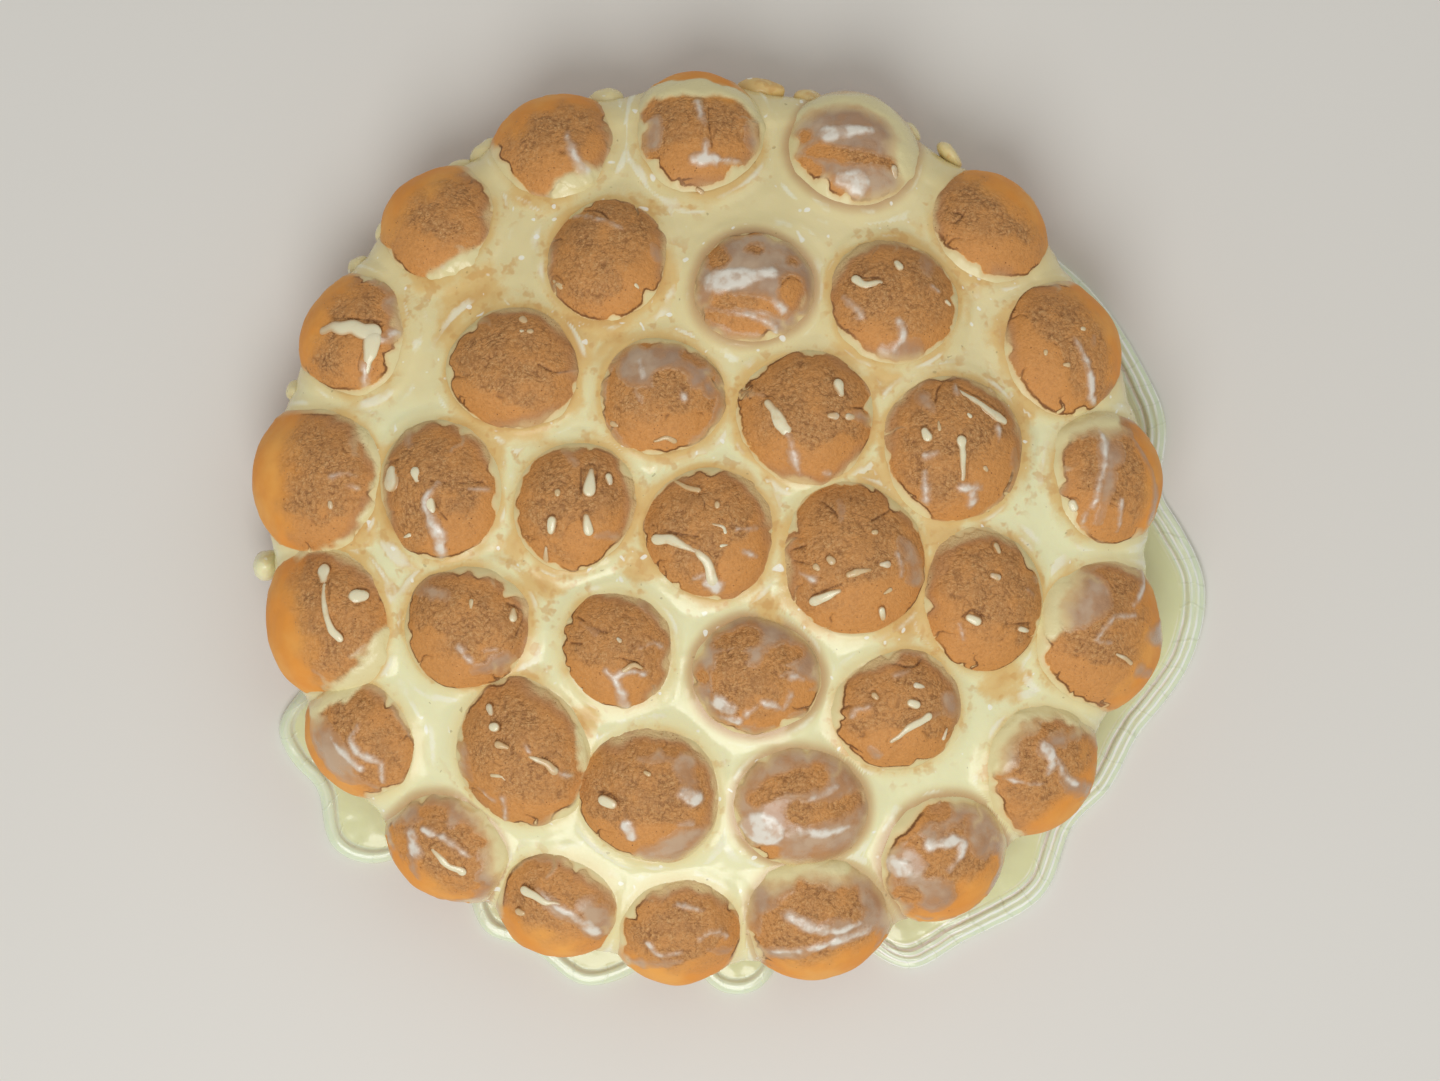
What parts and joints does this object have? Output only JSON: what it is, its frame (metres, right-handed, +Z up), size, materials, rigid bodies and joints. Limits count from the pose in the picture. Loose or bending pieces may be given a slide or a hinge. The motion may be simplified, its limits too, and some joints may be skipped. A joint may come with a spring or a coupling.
{
  "type": "honeycomb bread loaf",
  "caption": "Round pull-apart loaf of domed buns with cinnamon crusts, cream filling the valleys between them and cream pooled round its foot.",
  "frame": {"origin": "middle of the flat base, on the ground under the loaf's central bun", "axes": "+Z up through the crowns, +X to the right along the rows of buns, +Y to the back"},
  "size_m": [0.2669, 0.2579, 0.0611],
  "materials": {
    "crust": "baked golden-brown dough with a grainy cinnamon crust on each crown",
    "cream": "thick glossy pale yellow cream"
  },
  "bodies": {
    "root": {"bread": "crust", "cream_net": "cream", "cream_pool_right": "cream", "cream_pool_left": "cream", "cream_pool_front_left": "cream", "cream_pool_front": "cream"}
  },
  "joints": []
}
